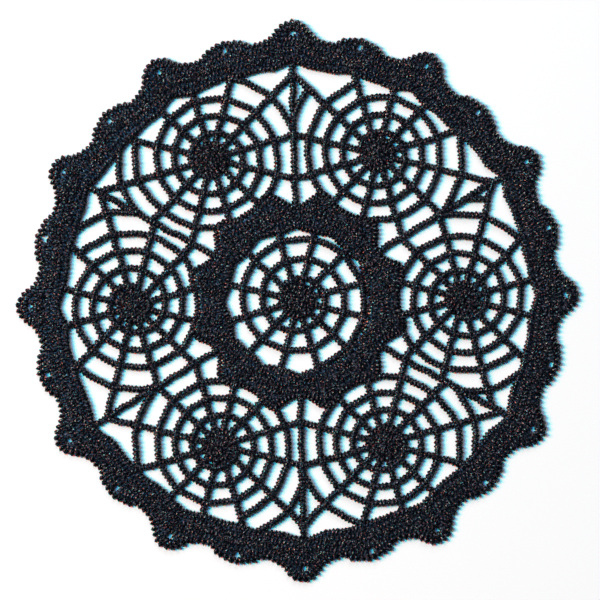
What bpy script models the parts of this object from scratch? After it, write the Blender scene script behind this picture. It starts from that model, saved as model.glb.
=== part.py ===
"""A round lace doily, stitched by machine in one piece, lying flat.

A lobed outer band, an inner ring, six webs between them, a seventh web in the
middle and six straight stems that part the outer webs are all one sheet of
thread. The gaps of the webs are cut through. Metres, +Z up, underside on z = 0.
"""

import math
from collections import namedtuple

import bmesh
import bpy
from mathutils import Vector
from mathutils.geometry import delaunay_2d_cdt

Line = namedtuple("Line", "point normal")
LobePoint = namedtuple("LobePoint", "angle radius")
Rib = namedtuple("Rib", "share height angles")
Web = namedtuple("Web", "heading distance hub growth first_spoke first_radius pitch lean lean_angle")

# Strands
STRAND = 0.00165
STRAND_CREST = 0.0014
EDGE_HEIGHT = 0.0007
BITE = 0.0003              # how far a strand's crest runs into a band

# Outer band: a tall picot at each repeat, a short lobe between each two
REPEAT = 30
BAND_INNER = 0.0623
BAND_SIDES = (-25, -15, -5, 5, 15, 25)     # where its inner edge touches a web's lines
LOBE = (
    LobePoint(0.0, 0.0750),
    LobePoint(1.9, 0.0743),
    LobePoint(3.2, 0.0727),
    LobePoint(4.2, 0.0713),
    LobePoint(6.6, 0.0702),
    LobePoint(9.6, 0.0698),
    LobePoint(10.9, 0.0714),
    LobePoint(15.0, 0.0722),
)
FINE = tuple(row.angle for row in LOBE)
COARSE = (0.0, 3.2, 6.6, 10.4, 15.0)
BAND_RIBS = (
    Rib(1.00, 0.0009, FINE),
    Rib(0.86, 0.0020, FINE),
    Rib(0.70, 0.0015, COARSE),
    Rib(0.55, 0.0020, COARSE),
    Rib(0.38, 0.0015, COARSE),
    Rib(0.20, 0.0019, COARSE),
)

# Inner ring: a scallop between each stem and each web's own direction
RING_INNER = 0.0190
RING_CREST = 0.0288
RING_AT_WEB = 0.0276
RING_AT_STEM = 0.0262
RING_ANGLES = (0.0, 7.5, 15.0)
RING_RIBS = (
    Rib(0.88, 0.0018, RING_ANGLES),
    Rib(0.64, 0.0014, RING_ANGLES),
    Rib(0.42, 0.0019, RING_ANGLES),
    Rib(0.18, 0.0015, RING_ANGLES),
)

# Webs: spokes from a hub, crossed by one strand that winds outwards
SPOKES = 12
SPOKE_STEP = 360 / SPOKES
WEB_TURNS = 4
WEB_DISTANCE = 0.0442
HUB_CREST = 0.0019
HUB_CROWN = 0.72           # share of a hub's radius that is raised
WIDE_TURN = 2.45           # past this many turns the strand keeps further out
WIDE_SPREAD = 0.0013
FACING_RING = 180          # a sector's turn from its web's heading
BESIDE_FACING = (150, 210)
HALF_THE_WEBS = (
    Web(0, WEB_DISTANCE, 0.0069, 1, 165, 0.0086, 0.00466, 0.00024, 300),
    Web(60, WEB_DISTANCE, 0.0069, -1, 195, 0.0086, 0.00470, 0.00010, 315),
    Web(120, WEB_DISTANCE, 0.0069, -1, 255, 0.0079, 0.00460, 0.00034, 228),
)
CENTRE_WEB = Web(0, 0.0, 0.0064, -1, 315, 0.0077, 0.00530, 0.00040, 65)

# Gaps
GAP_LENGTH = 0.0040        # shorter gaps stay closed
GAP_AREA = 0.000006        # and so do narrow slits
RUNG_CLEARANCE = 0.0014    # a rung nearer than this to the outer band is part of it

WELD = 0.00001
PARALLEL = 0.001


def heading(angle):
    return Vector((math.cos(math.radians(angle)), math.sin(math.radians(angle))))


def centre(web):
    return heading(web.heading) * web.distance


def line_through(start, end, kept):
    """The line through two points, its normal on the side of the point kept."""
    along = (end - start).normalized()
    normal = Vector((-along.y, along.x))
    return Line(start, normal if (kept - start).dot(normal) > 0 else -normal)


def moved(line, distance):
    return Line(line.point + line.normal * distance, line.normal)


def depth(point, line):
    return (point - line.point).dot(line.normal)


def clip(polygon, line):
    """What is left of a convex polygon, or of a segment, on the line's kept side."""
    kept = []
    for here, after in zip(polygon, polygon[1:] + polygon[:1]):
        inside, after_inside = depth(here, line) >= 0, depth(after, line) >= 0
        if inside:
            kept.append(here)
        if inside != after_inside:
            share = depth(here, line) / (depth(here, line) - depth(after, line))
            kept.append(here.lerp(after, share))
    return kept


def signed_area(polygon):
    """Positive where the polygon runs anticlockwise."""
    pairs = zip(polygon, polygon[1:] + polygon[:1])
    return sum(a.x * b.y - b.x * a.y for a, b in pairs) / 2


def mirrored_angle(angle, period):
    """The angle from the nearest repeat's axis, between 0 and half a period."""
    return abs((angle + period / 2) % period - period / 2)


def outline_radius(angle):
    offset = mirrored_angle(angle, REPEAT)
    for low, high in zip(LOBE, LOBE[1:]):
        if offset <= high.angle:
            share = (offset - low.angle) / (high.angle - low.angle)
            return low.radius + share * (high.radius - low.radius)
    return LOBE[-1].radius


def ring_radius(angle):
    """The scalloped outer edge of the inner ring."""
    at_web = mirrored_angle(angle, 2 * REPEAT) < REPEAT / 2
    valley = RING_AT_WEB if at_web else RING_AT_STEM
    swell = math.sin(math.radians(mirrored_angle(angle, REPEAT) * 90 / (REPEAT / 2)))
    return valley + (RING_CREST - valley) * swell


def rib_loop(rib, inner, outer_radius):
    """A closed row of stitches, a share of the way from a band's inner edge to its outer one."""
    points = []
    for repeat in range(0, 360, REPEAT):
        offsets = [-a for a in reversed(rib.angles[1:-1])] + list(rib.angles)
        for offset in offsets:
            angle = repeat + offset
            radius = inner + rib.share * (outer_radius(angle) - inner)
            points.append(heading(angle) * radius)
    return points


def spoke_angle(web, step):
    return web.heading + web.first_spoke + web.growth * SPOKE_STEP * step


def knot(web, step):
    """Where the winding strand crosses a spoke, this many spokes after its start."""
    angle = spoke_angle(web, step)
    turns = step / SPOKES
    lean = web.lean * math.cos(math.radians(angle - web.heading - web.lean_angle))
    spread = WIDE_SPREAD if turns > WIDE_TURN else 0.0
    radius = web.first_radius + web.pitch * turns + lean + spread
    return centre(web) + heading(angle) * radius


def walls(web, middle):
    """The lines that bound a web's sector, each with the half width of the strand on it."""
    if web.distance == 0:
        outward = heading(middle)
        return [(Line(outward * RING_INNER, -outward), 0)]
    bounds = []
    for side in (-REPEAT, REPEAT):
        stem = heading(web.heading + side)
        bounds.append((line_through(Vector((0, 0)), stem, centre(web)), STRAND / 2))
    for offset in BAND_SIDES:
        outward = heading(web.heading + offset)
        bounds.append((Line(outward * BAND_INNER, -outward), 0))
    turned = (middle - web.heading) % 360
    if turned == FACING_RING:
        toward = heading(web.heading)
        bounds.append((Line(toward * RING_AT_WEB, toward), 0))
    elif turned in BESIDE_FACING:
        side = 1 if turned < FACING_RING else -1
        crest = heading(web.heading + side * REPEAT / 2) * RING_CREST
        valley = heading(web.heading + side * REPEAT) * RING_AT_STEM
        bounds.append((line_through(crest, valley, centre(web)), 0))
    return bounds


def sector(web, step):
    """The space between two spokes, from the web's centre to its walls."""
    hub = centre(web)
    angles = spoke_angle(web, step), spoke_angle(web, step + 1)
    middle = sum(angles) / 2
    polygon = [hub] + [hub + heading(angle) * 2 * BAND_INNER for angle in angles]
    for angle in angles:
        spoke = line_through(hub, hub + heading(angle), hub + heading(middle))
        polygon = clip(polygon, moved(spoke, STRAND / 2))
    for wall, half_width in walls(web, middle):
        polygon = clip(polygon, moved(wall, half_width))
    return polygon if signed_area(polygon) > 0 else polygon[::-1]


def chord(web, step, kept):
    """The line of the winding strand between two spokes."""
    return line_through(knot(web, step), knot(web, step + 1), kept)


def beyond(web, step):
    """What is open outside the winding strand at this step, or outside the hub below step 0."""
    hub = centre(web)
    middle = (spoke_angle(web, step) + spoke_angle(web, step + 1)) / 2
    if step < 0:
        hub_edge = Line(hub + heading(middle) * web.hub, heading(middle))
        return clip(sector(web, step), hub_edge)
    far = hub + heading(middle) * 2 * BAND_INNER
    return clip(sector(web, step), moved(chord(web, step, far), STRAND / 2))


def is_open(polygon):
    if signed_area(polygon) < GAP_AREA:
        return False
    return max((a - b).length for a in polygon for b in polygon) > GAP_LENGTH


def has_rung(web, step):
    """Whether the winding strand shows between two spokes, apart from the bands and stems."""
    if step < 0:
        return True
    middle = (knot(web, step) + knot(web, step + 1)) / 2
    clear = middle.length < BAND_INNER - RUNG_CLEARANCE
    return step < WEB_TURNS * SPOKES and clear and is_open(beyond(web, step))


def gap(web, step):
    """The gap inside the winding strand at this step, empty where a band lies there."""
    if not has_rung(web, step - SPOKES):
        return []
    polygon = beyond(web, step - SPOKES)
    if has_rung(web, step):
        polygon = clip(polygon, moved(chord(web, step, centre(web)), STRAND / 2))
    return polygon


def spoke_end(web, angle):
    """How far a spoke runs: to the ring, the outer band or a stem, whichever comes first."""
    hub, along = centre(web), heading(angle)
    if web.distance == 0:
        return hub + along * (RING_INNER + BITE)
    reach = BAND_INNER
    for side in (-REPEAT, REPEAT):
        stem = heading(web.heading + side)
        across = Vector((-stem.y, stem.x))
        if abs(along.dot(across)) > PARALLEL:
            distance = -hub.dot(across) / along.dot(across)
            if distance > 0:
                reach = min(reach, distance)
    closest = hub.dot(along)
    for radius, sign in ((BAND_INNER + BITE, 1), (RING_AT_WEB - BITE, -1)):
        square = closest ** 2 - hub.length_squared + radius ** 2
        if square > 0:
            distance = -closest + sign * math.sqrt(square)
            if distance > 0:
                reach = min(reach, distance)
    return hub + along * reach


def all_webs():
    outer = [web._replace(heading=web.heading + half) for half in (0, 180) for web in HALF_THE_WEBS]
    return outer + [CENTRE_WEB]


def crests(web):
    """The hub's crown as a closed loop, and the crests of the web's strands as segments."""
    hub = centre(web)
    angles = [web.heading + SPOKE_STEP * (index + 0.5) for index in range(SPOKES)]
    crown = [hub + heading(angle) * web.hub * HUB_CROWN for angle in angles]
    segments = [(root, spoke_end(web, angle)) for root, angle in zip(crown, angles)]
    for step in range(WEB_TURNS * SPOKES):
        if not has_rung(web, step):
            continue
        middle = (spoke_angle(web, step) + spoke_angle(web, step + 1)) / 2
        ends = [knot(web, step), knot(web, step + 1)]
        for wall, _ in walls(web, middle):
            ends = clip(ends, wall)[:2]
        segments.append(ends)
    return crown, segments


class Drawing:
    """Points with heights, and the lines and loops between them, for one triangulation."""

    def __init__(self):
        self.points, self.heights, self.edges, self.loops = [], [], [], []

    def add(self, points, height):
        first = len(self.points)
        self.points.extend(points)
        self.heights.extend([height] * len(points))
        return list(range(first, first + len(points)))

    def loop(self, points, height):
        indices = self.add(points, height)
        self.edges.extend(zip(indices, indices[1:] + indices[:1]))
        return indices

    def outline(self, points, height):
        self.loops.append(self.add(points, height))

    def segment(self, points, height):
        self.edges.append(tuple(self.add(points, height)))


def draw_doily():
    drawing = Drawing()
    drawing.outline(rib_loop(BAND_RIBS[0], BAND_INNER, outline_radius), BAND_RIBS[0].height)
    for web in all_webs():
        for step in range((WEB_TURNS + 1) * SPOKES):
            polygon = gap(web, step)
            if is_open(polygon):
                drawing.outline(polygon, EDGE_HEIGHT)
    for rib in BAND_RIBS[1:]:
        drawing.loop(rib_loop(rib, BAND_INNER, outline_radius), rib.height)
    for rib in RING_RIBS:
        drawing.loop(rib_loop(rib, RING_INNER, ring_radius), rib.height)
    for web in all_webs():
        crown, segments = crests(web)
        drawing.loop(crown, HUB_CREST)
        drawing.add([centre(web)], HUB_CREST)
        for segment in segments:
            drawing.segment(segment, STRAND_CREST)
    for angle in range(REPEAT, 360, 2 * REPEAT):
        ends = heading(angle) * (RING_AT_STEM - BITE), heading(angle) * (BAND_INNER + BITE)
        drawing.segment(ends, STRAND_CREST)
    return drawing


def top_surface(drawing):
    """Triangles over everything but the gaps, with each point at its height."""
    flat = delaunay_2d_cdt(drawing.points, drawing.edges, drawing.loops, 1, WELD)
    places, _, triangles, sources, _, owners = flat
    points = []
    for place, source in zip(places, sources):
        height = max((drawing.heights[index] for index in source), default=STRAND_CREST)
        points.append((place.x, place.y, height))
    lace = [corners for corners, owner in zip(triangles, owners) if list(owner) == [0]]
    return points, lace


def doily_mesh():
    """The top surface, closed by walls down to a flat underside."""
    points, triangles = top_surface(draw_doily())
    mesh = bpy.data.meshes.new("doily")
    mesh.from_pydata(points, [], triangles)
    shape = bmesh.new()
    shape.from_mesh(mesh)
    loose = [vertex for vertex in shape.verts if not vertex.link_faces]
    bmesh.ops.delete(shape, geom=loose, context="VERTS")
    extruded = bmesh.ops.extrude_face_region(shape, geom=shape.faces[:])
    for item in extruded["geom"]:
        if isinstance(item, bmesh.types.BMVert):
            item.co.z = 0.0
    bmesh.ops.recalc_face_normals(shape, faces=shape.faces[:])
    shape.to_mesh(mesh)
    shape.free()
    return mesh


def black_thread():
    material = bpy.data.materials.new("black_thread")
    material.use_nodes = True
    shader = material.node_tree.nodes["Principled BSDF"]
    shader.inputs["Base Color"].default_value = (0.012, 0.012, 0.018, 1.0)
    shader.inputs["Roughness"].default_value = 0.6
    shader.inputs["Metallic"].default_value = 0.0
    return material


def build():
    for item in list(bpy.data.objects):
        bpy.data.objects.remove(item)
    collection = bpy.data.collections.new("lace_doily")
    bpy.context.scene.collection.children.link(collection)
    doily = bpy.data.objects.new("doily", doily_mesh())
    doily.data.materials.append(black_thread())
    collection.objects.link(doily)


build()
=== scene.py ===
"""A round black lace doily, stitched by machine in one piece, lying flat on a pale floor.

The sections follow the lace as it is stitched: the outer band, the inner ring, the hubs,
the stems, the spokes and the strands that wind over them. The last ones join the ground
into one sheet and set up the floor, the lights and the camera. Metres, +Z up.
"""

import math
import random
from collections import namedtuple

import bmesh
import bpy
import numpy
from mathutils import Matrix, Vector


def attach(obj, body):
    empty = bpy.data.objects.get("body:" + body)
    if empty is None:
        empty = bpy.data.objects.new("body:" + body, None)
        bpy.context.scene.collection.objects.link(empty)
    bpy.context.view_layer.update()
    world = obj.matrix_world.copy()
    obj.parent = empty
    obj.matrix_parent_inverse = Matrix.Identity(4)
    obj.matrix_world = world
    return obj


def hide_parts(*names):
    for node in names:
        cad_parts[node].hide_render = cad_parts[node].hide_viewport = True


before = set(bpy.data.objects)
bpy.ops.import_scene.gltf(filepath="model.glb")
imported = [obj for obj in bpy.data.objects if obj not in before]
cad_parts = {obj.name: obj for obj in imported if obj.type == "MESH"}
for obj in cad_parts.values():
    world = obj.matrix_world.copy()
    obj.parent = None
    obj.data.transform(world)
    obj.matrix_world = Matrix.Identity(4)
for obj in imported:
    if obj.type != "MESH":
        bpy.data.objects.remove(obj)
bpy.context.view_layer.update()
stitching = random.Random(11)


# Outer band. A dense band of stitching whose edge rises to a tall picot at every
# 30 degrees with a short lobe between. It is black rayon thread: a flat ground, on it
# rows of wound thread that follow the edge, and fine rows to and fro over them.
BAND_INNER = 0.0623
BAND_VALLEY = 0.0698
# The outer edge over half a repeat: the angle from the picot's tip, and the radius there.
PICOT = ((0.0, 0.0750), (1.9, 0.0742), (3.2, 0.0725), (4.2, 0.0709), (6.6, 0.0696),
         (9.6, 0.0693), (10.9, 0.0708), (15.0, 0.0720))
REPEAT = 30
EDGE_TURN = 0.2            # the edge lies turned by this angle against the webs
# Each row's distance from the inner edge, and how closely it follows the outer one.
BAND_ROWS = ((0.00025, 0.0), (0.00205, 0.10), (0.00360, 0.17), (0.00520, 0.24), (0.00690, 1.0))
BAND_DIP = (0.0017, 5)     # how far the inner edge draws back at a repeat's axis, and how wide
BAND_FILL_STITCHES = 70    # in each repeat
BAND_GROUND_ROWS = 12
EYELET_CLEARANCE = 0.0017  # kept free of fill stitches round an eyelet's middle
FILL_LIFT = 0.00032        # height of the fine fill rows over the others
MERGE = 0.000002           # points as close as this are joined
FLATTENED = 0.75           # how much lower than wide a row is
LACE_MIDDLE = 0.00100      # height of the middle of the lace over the floor
GROUND_THICKNESS = 0.0007
TURN = 0.00108             # along a row from one turn of its thread to the next
THREAD = 0.00038           # half the thickness of the winding thread
REACH = 0.00073            # from a row's middle to the middle of its winding thread

# A row of thread before it is sewn: its path and height, and how its thread is wound.
Stitching = namedtuple("Stitching", "path height closed turn thread reach")
Eyelet = namedtuple("Eyelet", "angle radius half_length half_width")


def heading(angle):
    return Vector((math.cos(math.radians(angle)), math.sin(math.radians(angle))))


def from_axis(angle, period):
    """The angle from the nearest repeat's axis, between 0 and half a period."""
    return abs((angle + period / 2) % period - period / 2)


def band_edge(angle):
    """The radius of the band's outer edge."""
    offset = from_axis(angle + EDGE_TURN, REPEAT)
    for low, high in zip(PICOT, PICOT[1:]):
        if offset <= high[0]:
            return low[1] + (offset - low[0]) / (high[0] - low[0]) * (high[1] - low[1])
    return PICOT[-1][1]


def dip(angle, depth, width):
    """How far a band's inner edge draws back near each repeat's axis."""
    return depth * max(0.0, 1 - from_axis(angle, REPEAT) / width)


def only(piece):
    """Select this piece and nothing else."""
    bpy.ops.object.select_all(action="DESELECT")
    piece.select_set(True)
    bpy.context.view_layer.objects.active = piece


def apply_all(piece):
    only(piece)
    for modifier in list(piece.modifiers):
        bpy.ops.object.modifier_apply(modifier=modifier.name)


def joined(pieces, name):
    """One piece from several, with closed ends and its faces pointing outwards."""
    only(pieces[0])
    for piece in pieces:
        piece.select_set(True)
    bpy.ops.object.join()
    whole = bpy.context.object
    whole.name = whole.data.name = name
    bpy.ops.object.mode_set(mode="EDIT")
    bpy.ops.mesh.select_all(action="SELECT")
    bpy.ops.mesh.remove_doubles(threshold=MERGE)
    bpy.ops.mesh.fill_holes(sides=12)
    bpy.ops.mesh.normals_make_consistent(inside=False)
    bpy.ops.object.mode_set(mode="OBJECT")
    bpy.ops.object.shade_smooth()
    return whole


def guide(path, height, closed):
    """A curve for a strand to follow."""
    curve = bpy.data.curves.new("guide", "CURVE")
    curve.dimensions = "2D"
    line = curve.splines.new("POLY")
    line.points.add(len(path) - 1)
    for point, place in zip(line.points, path):
        point.co = (place.x, place.y, height, 1)
    line.use_cyclic_u = closed
    route = bpy.data.objects.new("guide", curve)
    bpy.context.collection.objects.link(route)
    return route


def path_length(path, closed):
    after = path[1:] + path[:1] if closed else path[1:]
    return sum((b - a).length for a, b in zip(path, after))


def loosen(mesh, length):
    """Make straight wound thread uneven: closer and wider turns, fuller and flatter knots."""
    places = numpy.empty(len(mesh.vertices) * 3)
    mesh.vertices.foreach_get("co", places)
    places = places.reshape(-1, 3)
    along = places[:, 0] * 1000
    phases = [stitching.uniform(0, 6.28) for _ in range(6)]
    ease = numpy.clip(numpy.minimum(along, length * 1000 - along) / 2, 0, 1)
    slack = sum(numpy.sin(along * rate + phase)
                for rate, phase in zip((1.3, 2.1, 3.7), phases)) / 3
    swell = sum(numpy.sin(along * rate + phase)
                for rate, phase in zip((2.4, 4.1, 7.3), phases[3:])) / 3
    places[:, 0] += 0.00018 * slack * ease
    places[:, 1:] *= (1 + 0.14 * swell * ease)[:, None]
    mesh.vertices.foreach_set("co", places.ravel())


def wound_thread(stitches):
    """Thread wound in even turns, a little loosened and bent along its row's path."""
    length = path_length(stitches.path, stitches.closed)
    turns = max(1, round(length / stitches.turn))
    bpy.ops.object.select_all(action="DESELECT")
    bpy.ops.mesh.primitive_circle_add(vertices=5, radius=stitches.thread)
    thread = bpy.context.object
    bpy.ops.object.mode_set(mode="EDIT")
    bpy.ops.transform.translate(value=(0, stitches.reach, 0))
    bpy.ops.object.mode_set(mode="OBJECT")
    winding = thread.modifiers.new("winding", "SCREW")
    winding.axis = "X"
    winding.angle = stitching.choice((-2, 2)) * math.pi
    winding.screw_offset = length / turns
    winding.iterations = turns
    winding.steps = winding.render_steps = 7
    winding.use_stretch_u = winding.use_stretch_v = True
    apply_all(thread)
    loosen(thread.data, length)
    start = stitching.uniform(0, 2 * math.pi)
    bpy.ops.object.mode_set(mode="EDIT")
    bpy.ops.mesh.select_all(action="SELECT")
    bpy.ops.transform.rotate(value=start, orient_axis="X", center_override=(0, 0, 0))
    bpy.ops.transform.resize(value=(1, 1, FLATTENED), center_override=(0, 0, 0))
    bpy.ops.object.mode_set(mode="OBJECT")
    route = guide(stitches.path, stitches.height, stitches.closed)
    bend = thread.modifiers.new("bend", "CURVE")
    bend.object = route
    bend.deform_axis = "POS_X"
    apply_all(thread)
    bpy.data.objects.remove(route)
    return thread


def wander(path, amount, closed=False):
    """The path as a machine sews it, a little uneven to either side."""
    waves = [(stitching.uniform(0.3, 1.3), stitching.uniform(0, 6.28)) for _ in range(3)]
    moved, travelled = [], 0.0
    for index, place in enumerate(path):
        before, after = path[index - 1], path[(index + 1) % len(path)]
        if not closed:
            before, after = path[max(index - 1, 0)], path[min(index + 1, len(path) - 1)]
        along = (after - before).normalized()
        side = sum(math.sin(travelled * 1000 * rate + phase) for rate, phase in waves) / 3
        if closed:
            side *= min(1.0, index / 20, (len(path) - index) / 20)
        moved.append(place + Vector((-along.y, along.x)) * side * amount)
        travelled += (after - place).length if after != place else 0.0
    return moved


def row_around(radius_at, turn=TURN, thread=THREAD, reach=REACH, lift=0.0, uneven=0.00014):
    path = [heading(angle / 2) * radius_at(angle / 2) for angle in range(720)]
    path = wander(path, uneven, closed=True)
    return Stitching(path, LACE_MIDDLE + lift, True, turn, thread, reach)


def fill(places):
    """A fine row sewn to and fro over the others, from one of these places to the next."""
    path = [places[0]]
    for start, end in zip(places, places[1:]):
        path += [start.lerp(end, 0.3), start.lerp(end, 0.7)]
    return Stitching(path, LACE_MIDDLE + FILL_LIFT, False, 0.00080, 0.00029, 0.00048)


def row_between(start, end, radius_at, lift=0.0):
    """A short row over part of a band, its ends tucked under the rows beside it."""
    steps = max(6, round((end - start) * 2))
    angles = [start + (end - start) * step / steps for step in range(steps + 1)]
    path = [heading(angle) * radius_at(angle) for angle in angles]
    return Stitching(path, LACE_MIDDLE + lift, False, TURN, THREAD, REACH)


def band_ground(name, inner_at, edge_at, rows, eyelets):
    """The flat ground of a band, its small eyelets left open."""
    bpy.ops.object.select_all(action="DESELECT")
    bpy.ops.mesh.primitive_circle_add(vertices=720, radius=1)
    ground = bpy.context.object
    ground.name = name
    bpy.ops.object.mode_set(mode="EDIT")
    bpy.ops.mesh.select_all(action="SELECT")
    for row in range(rows + 1):
        if row:
            bpy.ops.mesh.extrude_region_move()
        shape = bmesh.from_edit_mesh(ground.data)
        for vertex in shape.verts:
            if vertex.select:
                angle = math.degrees(math.atan2(vertex.co.y, vertex.co.x))
                inner = inner_at(angle)
                radius = inner + (edge_at(angle) - inner) * row / rows
                vertex.co = (heading(angle) * radius).to_3d()
    bpy.ops.mesh.select_all(action="DESELECT")
    bpy.ops.mesh.select_mode(type="FACE")
    shape = bmesh.from_edit_mesh(ground.data)
    for face in shape.faces:
        middle = face.calc_center_median().to_2d()
        for eyelet in eyelets:
            out = heading(eyelet.angle)
            offset = middle - out * eyelet.radius
            along, across = offset.dot(out), offset.dot(Vector((-out.y, out.x)))
            if (along / eyelet.half_length) ** 2 + (across / eyelet.half_width) ** 2 < 1:
                face.select = True
    bmesh.update_edit_mesh(ground.data)
    bpy.ops.mesh.delete(type="FACE")
    bpy.ops.mesh.select_mode(type="VERT")
    bpy.ops.mesh.select_all(action="SELECT")
    bpy.ops.transform.translate(value=(0, 0, LACE_MIDDLE))
    bpy.ops.object.mode_set(mode="OBJECT")
    cloth = ground.modifiers.new("thickness", "SOLIDIFY")
    cloth.thickness = GROUND_THICKNESS
    cloth.offset = 0
    apply_all(ground)
    return ground


def stitched_noise(nodes, links, coordinates, scale, low, high, start=0.3, end=0.7):
    """Fine uneven grain, between two values; start and end set how sharp it is."""
    noise = nodes.new("ShaderNodeTexNoise")
    noise.inputs["Scale"].default_value = scale
    noise.inputs["Detail"].default_value = 3
    links.new(coordinates, noise.inputs["Vector"])
    span = nodes.new("ShaderNodeMapRange")
    span.inputs["From Min"].default_value = start
    span.inputs["From Max"].default_value = end
    span.inputs["To Min"].default_value = low
    span.inputs["To Max"].default_value = high
    links.new(noise.outputs["Fac"], span.inputs["Value"])
    return span.outputs["Result"]


def black_thread(name, wound):
    """Black rayon, dark navy in tone at random, with a low lustre; its brightest specks, faintly
    purple-brown, are painted highlight glints.
    Wound thread shows its twisted filaments, the ground small crossed stitches."""
    finish = bpy.data.materials.new(name)
    finish.use_nodes = True
    nodes, links = finish.node_tree.nodes, finish.node_tree.links
    shader = nodes["Principled BSDF"]
    shader.inputs["Sheen Weight"].default_value = 0.01
    shader.inputs["Sheen Roughness"].default_value = 0.4
    place = nodes.new("ShaderNodeTexCoord")
    tone_and_glints = stitched_noise(nodes, links, place.outputs["Object"], 1900, 0.0, 1.0)
    # Random tone from near-black navy up to the stop at 0.66; above it the ramp rises to bright
    # purple-brown specks, a painted highlight standing in for glints on the thread.
    colour = nodes.new("ShaderNodeValToRGB")
    colour.color_ramp.elements[0].position = 0.25
    colour.color_ramp.elements[0].color = (0.0008, 0.0012, 0.0030, 1)
    colour.color_ramp.elements[1].position = 1.0
    colour.color_ramp.elements[1].color = (0.095, 0.085, 0.110, 1)
    glint_specks_start = colour.color_ramp.elements.new(0.66)
    glint_specks_start.color = (0.006, 0.007, 0.012, 1)
    links.new(tone_and_glints, colour.inputs["Fac"])
    links.new(colour.outputs["Color"], shader.inputs["Base Color"])
    gloss = stitched_noise(nodes, links, place.outputs["Object"], 2600, 0.20, 0.38)
    links.new(gloss, shader.inputs["Roughness"])
    lustre = stitched_noise(nodes, links, place.outputs["Object"], 2000, 0.02, 1.0, 0.44, 0.66)
    links.new(lustre, shader.inputs["Specular IOR Level"])
    twist = nodes.new("ShaderNodeTexWave")
    twist.wave_profile = "SIN"
    twist.inputs["Distortion"].default_value = 0.6
    if wound:
        lay = nodes.new("ShaderNodeMapping")
        lay.inputs["Scale"].default_value = (2.2, 1.0, 1.0)
        lay.inputs["Rotation"].default_value = (0, 0, math.radians(35))
        links.new(place.outputs["UV"], lay.inputs["Vector"])
        links.new(lay.outputs["Vector"], twist.inputs["Vector"])
        twist.inputs["Scale"].default_value = 1.6
    else:
        links.new(place.outputs["Object"], twist.inputs["Vector"])
        twist.bands_direction = "DIAGONAL"
        twist.inputs["Scale"].default_value = 550
        twist.inputs["Distortion"].default_value = 9.0
        twist.inputs["Detail Scale"].default_value = 2.0
    relief = nodes.new("ShaderNodeBump")
    relief.inputs["Strength"].default_value = 0.2
    relief.inputs["Distance"].default_value = 0.00012
    links.new(twist.outputs["Fac"], relief.inputs["Height"])
    links.new(relief.outputs["Normal"], shader.inputs["Normal"])
    return finish


WOUND_THREAD = black_thread("wound_black_thread", wound=True)
STITCHED_GROUND = black_thread("stitched_black_ground", wound=False)


def finished(piece, finish):
    """Give a piece its thread and its place in the doily."""
    piece.data.materials.clear()
    piece.data.materials.append(finish)
    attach(piece, "root")
    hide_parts("doily")
    return piece


band_eyelets = []
for axis in range(0, 360, REPEAT):
    in_picot = axis + stitching.uniform(-0.3, 0.1)
    band_eyelets.append(Eyelet(in_picot, 0.0717, 0.0011, 0.0008))
    in_lobe = axis + 15 + stitching.uniform(-0.5, 0.3)
    band_eyelets.append(Eyelet(in_lobe, 0.0697, 0.0011, 0.0007))

band_rows = [row_around(
    lambda angle: BAND_INNER + BAND_ROWS[0][0] + dip(angle, *BAND_DIP), uneven=0.00040)]
for offset, follow in BAND_ROWS[1:-1]:
    band_rows.append(row_around(
        lambda angle: BAND_INNER + offset + follow * (band_edge(angle) - BAND_VALLEY),
        turn=TURN * stitching.uniform(0.97, 1.06), lift=stitching.uniform(-0.00006, 0.00006)))
offset, follow = BAND_ROWS[-1]
band_rows.append(row_around(
    lambda angle: BAND_INNER + offset + follow * (band_edge(angle) - BAND_VALLEY),
    turn=0.00150, thread=0.00043, reach=0.00072))
# Short rows that fill the picots and lobes: two across each picot, two in each lobe.
arches = []
for axis in range(0, 360, REPEAT):
    arches.append(row_between(axis - 3.6, axis + 3.6, lambda angle: band_edge(angle) - 0.0019))
    arches.append(row_between(
        axis - 5.5, axis + 5.5,
        lambda angle: 0.0700 - 0.0011 * (from_axis(angle, REPEAT) / 5.5) ** 2))
    arches.append(row_between(axis + 10.6, axis + 13.5, lambda angle: band_edge(angle) - 0.0023))
    arches.append(row_between(axis + 15.9, axis + 19.0, lambda angle: band_edge(angle) - 0.0023))

fills = []
for axis in range(0, 360, REPEAT):
    places = []
    while len(places) < BAND_FILL_STITCHES:
        angle = axis + len(places) * REPEAT / BAND_FILL_STITCHES + stitching.uniform(-1.5, 1.5)
        place = heading(angle) * stitching.uniform(BAND_INNER + 0.001, band_edge(angle) - 0.0016)
        if all((place - heading(eyelet.angle) * eyelet.radius).length > EYELET_CLEARANCE
               for eyelet in band_eyelets):
            places.append(place)
    fills.append(fill(places))

outer_band_ground = band_ground(
    "outer_band_ground", lambda angle: BAND_INNER - 0.0003 + dip(angle, *BAND_DIP),
    lambda angle: band_edge(angle) - 0.0008, BAND_GROUND_ROWS, band_eyelets)
outer_band_rows = finished(
    joined([wound_thread(row) for row in band_rows[3:] + arches], "outer_band_edge_rows"),
    WOUND_THREAD)
inner_band_rows = finished(
    joined([wound_thread(row) for row in band_rows[:3]], "outer_band_inner_rows"), WOUND_THREAD)
fill_rows = [
    finished(joined([wound_thread(row) for row in rows], name), WOUND_THREAD)
    for name, rows in (("outer_band_fill_a", fills[:6]), ("outer_band_fill_b", fills[6:]))
]
sheet_parts = [outer_band_ground]
stitched = [outer_band_rows, inner_band_rows] + fill_rows


# Inner ring. A narrower band round the middle web, stitched in the same thread, with
# twelve scallops on its outer edge, which dip where the stems and webs meet it.
RING_INNER = 0.0190
RING_AT_WEB = 0.0276
RING_AT_STEM = 0.0262
RING_CREST = 0.0288
RING_ROWS = ((0.00020, 0.0), (0.00180, 0.12), (0.00335, 0.20), (0.00490, 0.30), (0.00670, 1.0))
RING_DIP = (0.0010, 8)
RING_FILL_STITCHES = 55    # in each sixth of the ring
RING_GROUND_ROWS = 6


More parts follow.
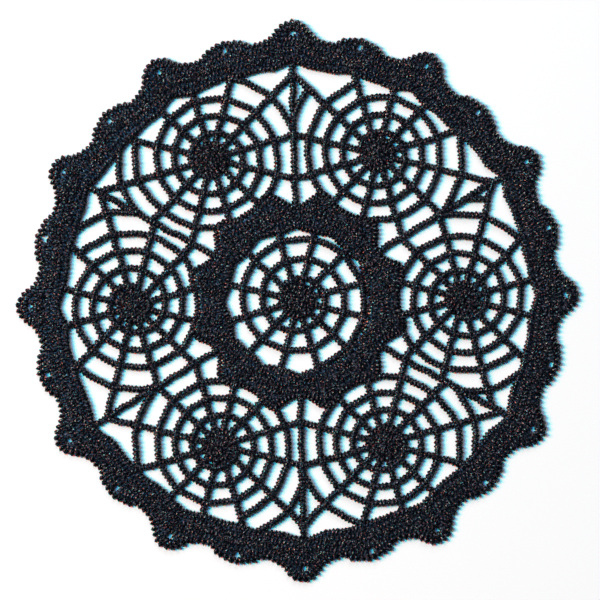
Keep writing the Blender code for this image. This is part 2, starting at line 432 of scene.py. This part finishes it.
def ring_edge(angle):
    """The radius of the ring's outer edge: twelve scallops drawn out to short points."""
    valley = (RING_AT_WEB if from_axis(angle, 60) < 15 else RING_AT_STEM) - 0.0004
    rise = max(0.0, from_axis(angle, REPEAT) / 15 - 0.2) / 0.8
    return valley + (RING_CREST + 0.0008 - valley) * rise ** 2 * (3 - 2 * rise)


ring_rows = [row_around(
    lambda angle: RING_INNER + RING_ROWS[0][0] + dip(angle, *RING_DIP), uneven=0.00030)]
for offset, follow in RING_ROWS[1:]:
    ring_rows.append(row_around(
        lambda angle: RING_INNER + offset + follow * (ring_edge(angle) - RING_AT_STEM),
        turn=TURN * stitching.uniform(0.97, 1.06), lift=stitching.uniform(-0.00006, 0.00006)))
scallops = [
    row_between(axis - 11, axis + 11, lambda angle: ring_edge(angle) - 0.0022)
    for axis in range(15, 360, REPEAT)
]
ring_ground = band_ground(
    "inner_ring_ground", lambda angle: RING_INNER - 0.0003 + dip(angle, *RING_DIP),
    lambda angle: ring_edge(angle) - 0.0004, RING_GROUND_ROWS, [])
for axis in range(0, 360, 60):
    places = []
    for index in range(RING_FILL_STITCHES):
        angle = axis + index * 60 / RING_FILL_STITCHES + stitching.uniform(-3.5, 3.5)
        radius = stitching.uniform(RING_INNER + 0.001, ring_edge(angle) - 0.0014)
        places.append(heading(angle) * radius)
    scallops.append(fill(places))
inner_ring_rows = finished(
    joined([wound_thread(row) for row in ring_rows + scallops], "inner_ring_rows"), WOUND_THREAD)
sheet_parts.append(ring_ground)
stitched.append(inner_ring_rows)


# Hubs. Each web starts from a solid round hub of the same thread: a small disc of
# ground, filled with four short rows side by side, closed by a row round its rim and
# gone over with short fine stitches.
HUB_RADIUS = 0.0040        # of the row round its rim
HUB_ROWS = (-0.0023, -0.00078, 0.00078, 0.0023)
HUB_CROSSINGS = 14
CROSSING_STEP = 137.5      # the angle from one crossing to the next, which spreads them evenly
WEB_DISTANCE = 0.0442
POINT_SPACING = 0.0008     # along a strand's path
# Where a web lies, which way round its strand grows, the angle of its first spoke, where
# the strand starts and how far apart its turns lie, how far and where to it leans, and how
# far its middle lies off the even layout.
Web = namedtuple(
    "Web", "heading distance growth first_spoke first_radius pitch lean lean_angle shift")
WEBS = (
    Web(0, WEB_DISTANCE, 1, 164, 0.0086, 0.00464, 0.00010, 300, (-0.0002, -0.0004)),
    Web(60, WEB_DISTANCE, -1, 195, 0.0086, 0.00470, 0.00010, 315, (0.0002, 0.0003)),
    Web(120, WEB_DISTANCE, -1, 255, 0.0080, 0.00463, 0.00038, 220, (0.0, 0.0002)),
    Web(180, WEB_DISTANCE, 1, 165, 0.0085, 0.00469, 0.00045, 295, (0.0004, -0.0003)),
    Web(240, WEB_DISTANCE, -1, 195, 0.0085, 0.00469, 0.00026, 315, (0.0003, 0.0002)),
    Web(300, WEB_DISTANCE, -1, 254, 0.0079, 0.00456, 0.00031, 240, (0.0, -0.0004)),
    Web(0, 0.0, -1, 315, 0.00775, 0.00530, 0.00040, 65, (0.0, 0.0)),
)


def centre(web):
    """A web's middle where the machine put it, a little off the even layout."""
    return heading(web.heading) * web.distance + Vector(web.shift)


def straight(start, end):
    count = max(3, round((end - start).length / POINT_SPACING))
    return [start.lerp(end, step / count) for step in range(count + 1)]


def crossing(middle, angle):
    """A short fine row over the others at any angle, as where the machine has gone over."""
    half_length = heading(angle) * stitching.uniform(0.0008, 0.0014)
    path = [middle - half_length, middle, middle + half_length]
    height = LACE_MIDDLE + stitching.uniform(0.00025, 0.00045)
    return Stitching(path, height, False, 0.00066, 0.00027, 0.00042)


hub_rows, hub_grounds = [], []
for web in WEBS:
    slant = stitching.uniform(0, 180)
    rim = [centre(web) + heading(angle) * HUB_RADIUS for angle in range(0, 360, 10)]
    hub_rows.append(Stitching(rim, LACE_MIDDLE, True, TURN, THREAD, REACH))
    for offset in HUB_ROWS:
        middle = centre(web) + heading(slant + 90) * offset
        half_length = heading(slant) * math.sqrt((HUB_RADIUS - 0.0006) ** 2 - offset ** 2)
        path = wander(straight(middle - half_length, middle + half_length), 0.0001)
        hub_rows.append(Stitching(path, LACE_MIDDLE, False, TURN, THREAD, REACH))
    for index in range(HUB_CROSSINGS):
        out = heading(index * CROSSING_STEP) * HUB_RADIUS * math.sqrt(index / HUB_CROSSINGS)
        hub_rows.append(crossing(centre(web) + out, stitching.uniform(0, 180)))
    bpy.ops.object.select_all(action="DESELECT")
    bpy.ops.mesh.primitive_circle_add(
        vertices=48, radius=HUB_RADIUS, fill_type="TRIFAN",
        location=(*centre(web), LACE_MIDDLE))
    bpy.ops.object.transform_apply(location=True)
    disc = bpy.context.object
    cloth = disc.modifiers.new("thickness", "SOLIDIFY")
    cloth.thickness = GROUND_THICKNESS
    cloth.offset = 0
    apply_all(disc)
    hub_grounds.append(disc)
hub_windings = finished(joined([wound_thread(row) for row in hub_rows], "hub_rows"), WOUND_THREAD)
sheet_parts += hub_grounds
stitched.append(hub_windings)


# Stems. Six straight strands that part the outer webs, from the inner ring to the
# outer band. Like all strands they are a core of thread with thread wound round it.
BITE = 0.0012              # how far a strand runs into a band
CORE = 0.00066             # half the width of a strand's core


def core(stitches):
    """The plain core under a row's winding thread."""
    route = guide(stitches.path, stitches.height, stitches.closed)
    route.data.bevel_depth = CORE
    route.data.bevel_resolution = 1
    route.data.use_fill_caps = True
    only(route)
    bpy.ops.object.convert(target="MESH")
    bpy.ops.object.mode_set(mode="EDIT")
    bpy.ops.mesh.select_all(action="SELECT")
    middle = (0, 0, stitches.height)
    bpy.ops.transform.resize(value=(1, 1, FLATTENED), center_override=middle)
    bpy.ops.object.mode_set(mode="OBJECT")
    return bpy.context.object


stem_rows = []
for angle in range(30, 360, 60):
    ends = heading(angle) * (RING_AT_STEM - BITE), heading(angle) * (BAND_INNER + BITE)
    path = wander(straight(*ends), 0.00028)
    stem_rows.append(Stitching(path, LACE_MIDDLE - 0.00004, False, TURN, THREAD, REACH))
stems = finished(joined([wound_thread(row) for row in stem_rows], "stems"), WOUND_THREAD)
sheet_parts += [core(row) for row in stem_rows]
stitched.append(stems)


# Spokes. Twelve straight strands run out from each hub, until they meet the inner
# ring, the outer band or a stem, and are caught in its stitches.
SPOKES = 12
SPOKE_ROOT = 0.0039        # where a spoke starts, under the hub's rows


def spoke_end(web, angle):
    """Where a spoke meets a band or a stem."""
    hub, along = centre(web), heading(angle)
    if web.distance == 0:
        return hub + along * (RING_INNER + BITE)
    reach = BAND_INNER
    for side in (-30, 30):
        stem = heading(web.heading + side)
        across = Vector((-stem.y, stem.x))
        if abs(along.dot(across)) > 0.001:
            distance = -hub.dot(across) / along.dot(across)
            if distance > 0:
                reach = min(reach, distance)
    closest = hub.dot(along)
    for radius, sign in ((BAND_INNER + BITE, 1), (RING_AT_WEB - BITE, -1)):
        square = closest ** 2 - hub.length_squared + radius ** 2
        if square > 0:
            distance = -closest + sign * math.sqrt(square)
            if distance > 0:
                reach = min(reach, distance)
    return hub + along * reach


spoke_rows = []
for web in WEBS:
    for index in range(SPOKES):
        angle = web.heading + web.first_spoke + index * 30
        end = spoke_end(web, angle)
        root = centre(web) + (end - centre(web)).normalized() * SPOKE_ROOT
        path = wander(straight(root, end), 0.00020)
        spoke_rows.append(Stitching(path, LACE_MIDDLE - 0.00006, False, TURN, THREAD, REACH))
spokes = finished(joined([wound_thread(row) for row in spoke_rows], "spokes"), WOUND_THREAD)
sheet_parts += [core(row) for row in spoke_rows]
stitched.append(spokes)


# Winding strands. One strand in each web winds outwards from the hub and is caught on
# every spoke that it crosses. Near a stem or a band it runs into that one's stitches.
STRAND = 0.00165           # width of a strand
WEB_TURNS = 4
EARLY_STEPS = 9            # spokes crossed between the hub and the first full turn
WIDE_TURN = 2.45           # the turn from which the strand lies further out
WIDE_SPREAD = 0.0013       # and by how much
SMALLEST_GAP = 0.000002    # a strand that would leave a smaller gap is left out, in m2
HIDDEN_IN_BAND = 0.0014    # so far inside the band's edge a strand is lost in its stitches
Line = namedtuple("Line", "point normal")


def line_through(start, end, kept):
    """The line through two points, its normal on the side of the point kept."""
    along = (end - start).normalized()
    normal = Vector((-along.y, along.x))
    return Line(start, normal if (kept - start).dot(normal) > 0 else -normal)


def moved(line, distance):
    return Line(line.point + line.normal * distance, line.normal)


def depth(point, line):
    return (point - line.point).dot(line.normal)


def clip(polygon, line):
    """What is left of a convex polygon, or of a segment, on the line's kept side."""
    kept = []
    for here, after in zip(polygon, polygon[1:] + polygon[:1]):
        inside, after_inside = depth(here, line) >= 0, depth(after, line) >= 0
        if inside:
            kept.append(here)
        if inside != after_inside:
            share = depth(here, line) / (depth(here, line) - depth(after, line))
            kept.append(here.lerp(after, share))
    return kept


def spoke_angle(web, step):
    return web.heading + web.first_spoke + web.growth * 30 * step


def knot(web, step):
    """Where the winding strand crosses a spoke, this many spokes after its first turn starts."""
    angle = spoke_angle(web, step)
    turns = step / SPOKES
    lean = web.lean * math.cos(math.radians(angle - web.heading - web.lean_angle))
    spread = WIDE_SPREAD if turns > WIDE_TURN else 0.0
    radius = web.first_radius + web.pitch * turns + lean + spread
    return centre(web) + heading(angle) * radius


def walls(web, middle):
    """The lines that bound the space between two spokes of a web."""
    if web.distance == 0:
        outward = heading(middle)
        return [(Line(outward * RING_INNER, -outward), 0)]
    bounds = []
    for side in (-30, 30):
        stem = heading(web.heading + side)
        bounds.append((line_through(Vector((0, 0)), stem, centre(web)), STRAND / 2))
    for offset in (-25, -15, -5, 5, 15, 25):
        outward = heading(web.heading + offset)
        bounds.append((Line(outward * BAND_INNER, -outward), 0))
    turned = round((middle - web.heading) / 30) * 30 % 360
    if turned == 180:
        toward = heading(web.heading)
        bounds.append((Line(toward * RING_AT_WEB, toward), 0))
    elif turned in (150, 210):
        side = 1 if turned < 180 else -1
        crest = heading(web.heading + side * 15) * RING_CREST
        valley = heading(web.heading + side * 30) * RING_AT_STEM
        bounds.append((line_through(crest, valley, centre(web)), 0))
    return bounds


def space_beyond(web, step):
    """The size of what is open outside the winding strand at this step."""
    hub = centre(web)
    angles = spoke_angle(web, step), spoke_angle(web, step + 1)
    middle = sum(angles) / 2
    polygon = [hub] + [hub + heading(angle) * 2 * BAND_INNER for angle in angles]
    for angle in angles:
        spoke = line_through(hub, hub + heading(angle), hub + heading(middle))
        polygon = clip(polygon, moved(spoke, STRAND / 2))
    for wall, half_width in walls(web, middle):
        polygon = clip(polygon, moved(wall, half_width))
    far = hub + heading(middle) * 2 * BAND_INNER
    strand = line_through(knot(web, step), knot(web, step + 1), far)
    polygon = clip(polygon, moved(strand, STRAND / 2))
    pairs = zip(polygon, polygon[1:] + polygon[:1])
    return abs(sum(a.x * b.y - b.x * a.y for a, b in pairs)) / 2


def shows(web, step):
    """Whether the strand shows between these two spokes, clear of the bands and stems."""
    middle = (knot(web, step) + knot(web, step + 1)) / 2
    wound = -EARLY_STEPS <= step < WEB_TURNS * SPOKES
    clear = middle.length < BAND_INNER - HIDDEN_IN_BAND
    return wound and clear and space_beyond(web, step) > SMALLEST_GAP


def bowed(start, end, hub, bow=0.035):
    """Points from one spoke to the next, bent slightly outwards."""
    out = ((start + end) / 2 - hub).normalized()
    reach = (end - start).length * bow
    count = max(3, round((end - start).length / POINT_SPACING))
    shares = [step / count for step in range(count + 1)]
    return [start.lerp(end, t) + out * reach * 4 * t * (1 - t) for t in shares]


winding_rows = []
for web in WEBS:
    run = []
    for step in range(-EARLY_STEPS, WEB_TURNS * SPOKES + 1):
        if shows(web, step):
            middle = (spoke_angle(web, step) + spoke_angle(web, step + 1)) / 2
            ends = [knot(web, step), knot(web, step + 1)]
            for wall, _ in walls(web, middle):
                ends = clip(ends, wall)[:2] or ends
            span = bowed(*ends, centre(web))
            if run and (run[-1] - span[0]).length > 0.0003:
                winding_rows.append(run)
                run = []
            run = run[:-1] + span
        elif run:
            winding_rows.append(run)
            run = []
    if run:
        winding_rows.append(run)
winding_rows = [
    Stitching(wander(run, 0.00018), LACE_MIDDLE + 0.00005, False, TURN, THREAD, REACH)
    for run in winding_rows
]
half = len(winding_rows) // 2
windings = [
    finished(joined([wound_thread(row) for row in rows], name), WOUND_THREAD)
    for name, rows in (("winding_strands_a", winding_rows[:half]),
                       ("winding_strands_b", winding_rows[half:]))
]
sheet_parts += [core(row) for row in winding_rows]
stitched += windings


# The ground as one sheet. The bands' and hubs' ground and the cores of all strands are
# one flat piece of lace, which lies on the floor; the wound thread is sewn on it.
lace_ground = finished(joined(sheet_parts, "lace_ground"), STITCHED_GROUND)


# Floor. A plain white surface, larger than the view, which ends out of sight.
bpy.ops.object.select_all(action="DESELECT")
bpy.ops.mesh.primitive_plane_add(size=6)
floor = bpy.context.object
floor.name = "floor"
paper = bpy.data.materials.new("plain_white_floor")
paper.use_nodes = True
paper_shader = paper.node_tree.nodes["Principled BSDF"]
paper_shader.inputs["Base Color"].default_value = (0.93, 0.93, 0.925, 1)
paper_shader.inputs["Roughness"].default_value = 0.9
paper_shader.inputs["Specular IOR Level"].default_value = 0.1
floor.data.materials.append(paper)


# Light. Three coloured lamps in a row from above to the left of the lace, as in a
# scanner, and a soft white one from the top. The coloured ones add up to white on the
# floor, and leave a blue edge right of each strand.
def lamp(name, place, colour, power, size=0.9):
    bpy.ops.object.light_add(type="AREA", location=place)
    light = bpy.context.object
    light.name = name
    light.data.shape = "SQUARE"
    light.data.size = size
    light.data.color = colour
    light.data.energy = power
    light.rotation_euler = (-Vector(place)).to_track_quat("-Z", "Y").to_euler()


lamp("red_lamp", (-1.9, 0.3, 1.7), (1.0, 0.04, 0.02), 85)
lamp("green_lamp", (-1.45, 0.35, 2.0), (0.04, 1.0, 0.60), 56)
lamp("blue_lamp", (-0.9, 0.45, 2.2), (0.03, 0.30, 1.0), 29)
lamp("white_lamp", (0.1, 1.7, 1.7), (1.0, 1.0, 1.0), 17, size=1.4)
surround = bpy.data.worlds.new("surround")
surround.use_nodes = True
surround.node_tree.nodes["Background"].inputs["Color"].default_value = (1, 1, 1, 1)
surround.node_tree.nodes["Background"].inputs["Strength"].default_value = 0.04
bpy.context.scene.world = surround
bpy.context.scene.view_settings.view_transform = "Standard"


# Camera. It looks straight down from 1.2 m, turned by the small angle at which the
# doily lies in the picture, so that the doily fills the frame.
VIEW_WIDTH = 0.1602
CAMERA_HEIGHT = 1.2
PIXEL = VIEW_WIDTH / 600
LEFT_OF_MIDDLE = 2.5       # how many pixels the doily's middle lies left of the view's
BELOW_MIDDLE = 1.0         # and how many below it
TURNED = -1.4
eye = bpy.data.cameras.new("camera")
eye.sensor_width = 36
eye.lens = 36 * (CAMERA_HEIGHT - 0.001) / VIEW_WIDTH
camera = bpy.data.objects.new("camera", eye)
bpy.context.collection.objects.link(camera)
view_right = heading(TURNED)
view_up = heading(TURNED + 90)
aim = view_right * LEFT_OF_MIDDLE * PIXEL + view_up * BELOW_MIDDLE * PIXEL
camera.location = (*aim, CAMERA_HEIGHT)
camera.rotation_euler = (0, 0, math.radians(TURNED))
bpy.context.scene.camera = camera
